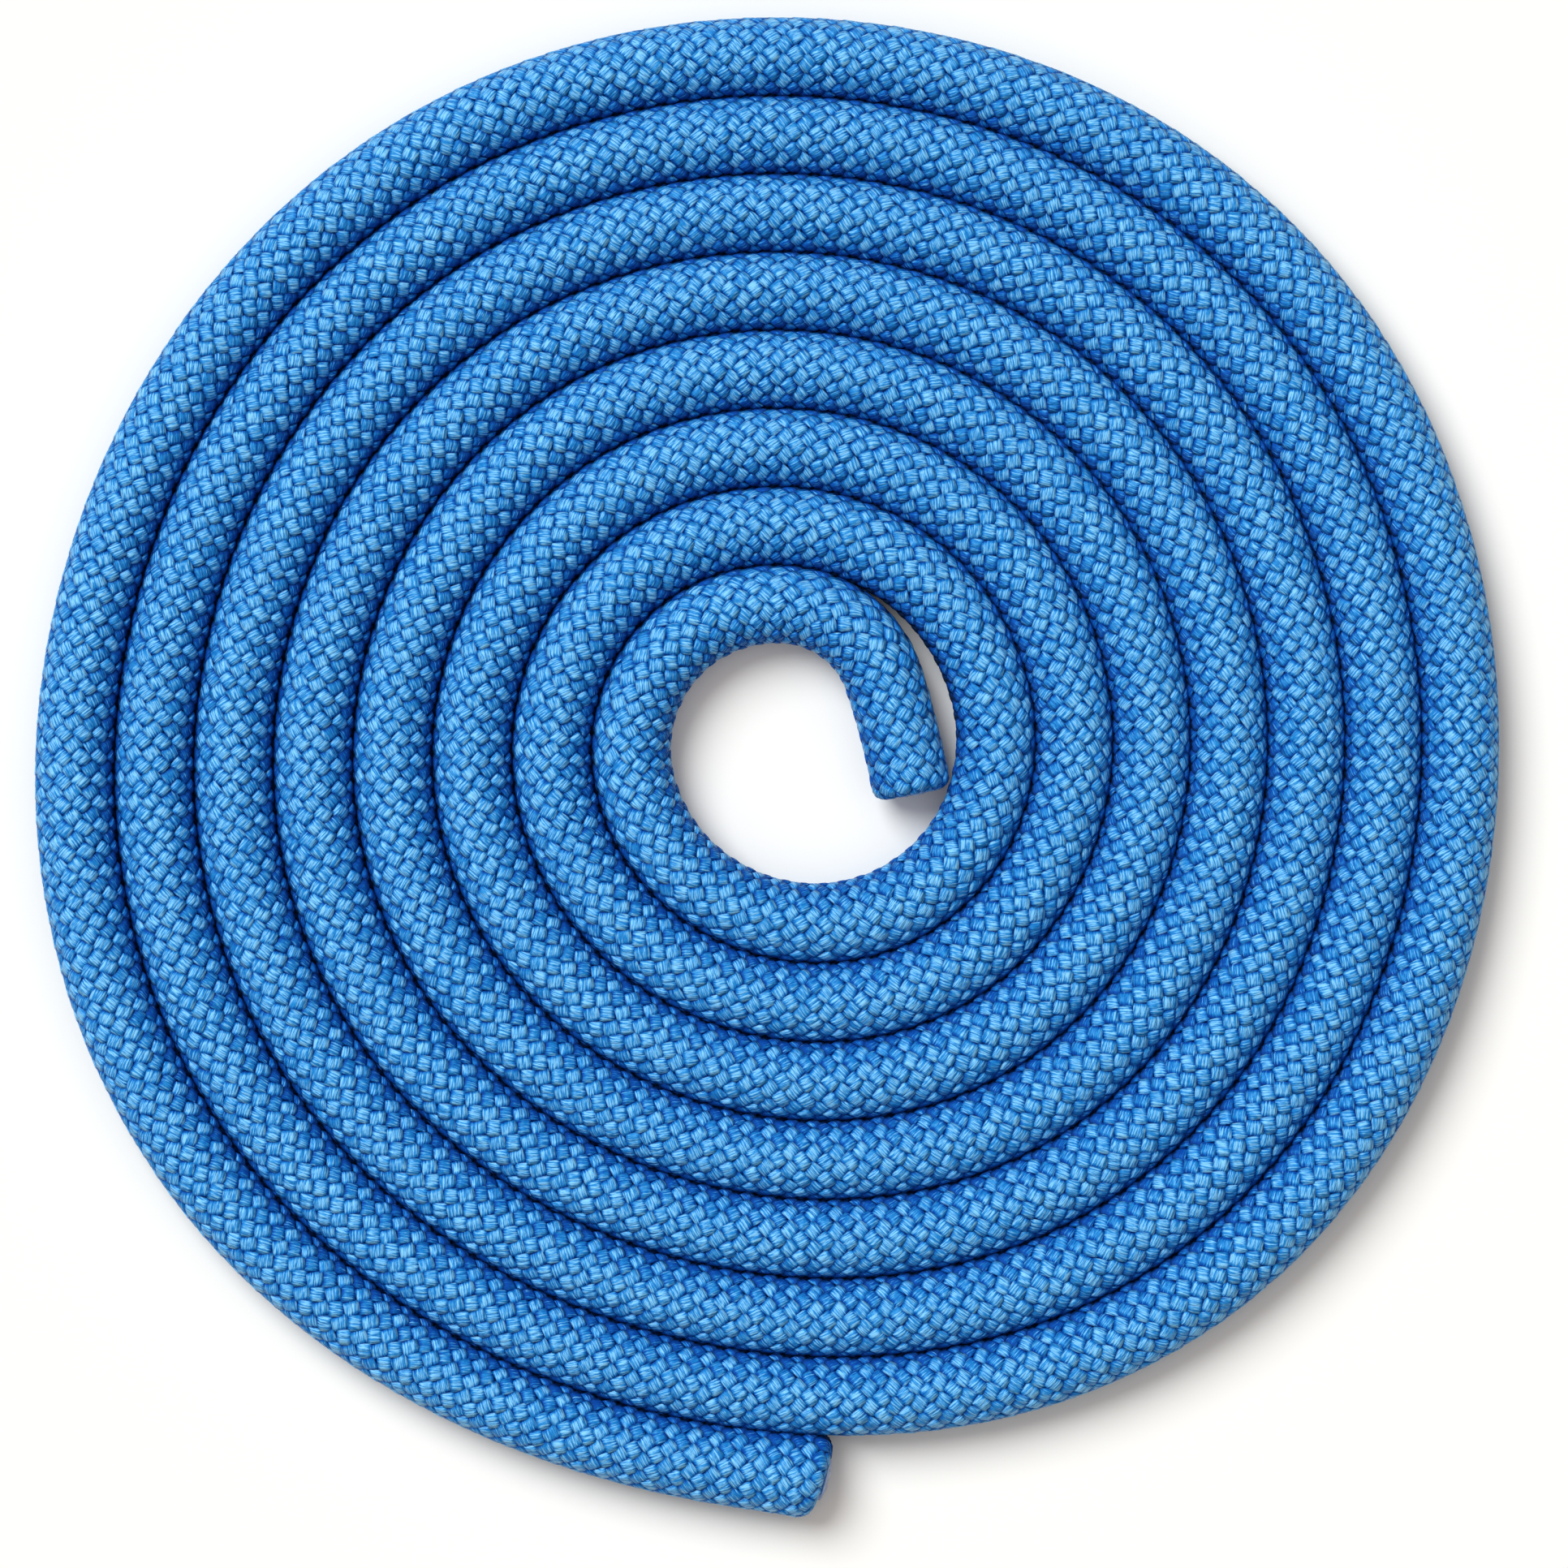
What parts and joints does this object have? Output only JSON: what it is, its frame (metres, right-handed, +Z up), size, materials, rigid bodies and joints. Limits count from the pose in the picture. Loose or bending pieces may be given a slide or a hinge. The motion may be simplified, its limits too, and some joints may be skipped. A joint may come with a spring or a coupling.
{
  "type": "dynamic climbing rope",
  "caption": "Round braided kernmantle rope wound into one flat spiral layer, with both ends cut and heat-sealed.",
  "frame": {"origin": "middle of the coil's box in plan, on the surface the coil lies on", "axes": "+Z up through the flat coil, +Y along the coil's slightly longer side, towards the side away from the rope's outer end; the rope winds outward anticlockwise seen from above"},
  "size_m": [0.2134, 0.2188, 0.011],
  "materials": {
    "sheath_yarn": "satin",
    "core_yarn": "satin",
    "marker_yarn": "matte",
    "fused_yarn": "semi-gloss"
  },
  "bodies": {
    "root": {"sheath": "sheath_yarn", "core_strand_01": "core_yarn", "core_strand_02": "core_yarn", "core_strand_03": "core_yarn", "core_strand_04": "core_yarn", "core_strand_05": "core_yarn", "core_strand_06": "core_yarn", "core_strand_07": "core_yarn", "core_strand_08": "core_yarn", "core_strand_09": "core_yarn", "core_strand_10": "core_yarn", "core_strand_11": "core_yarn", "core_strand_12": "core_yarn", "marker_thread": "marker_yarn", "inner_end_seal": "fused_yarn", "outer_end_seal": "fused_yarn"}
  },
  "joints": []
}
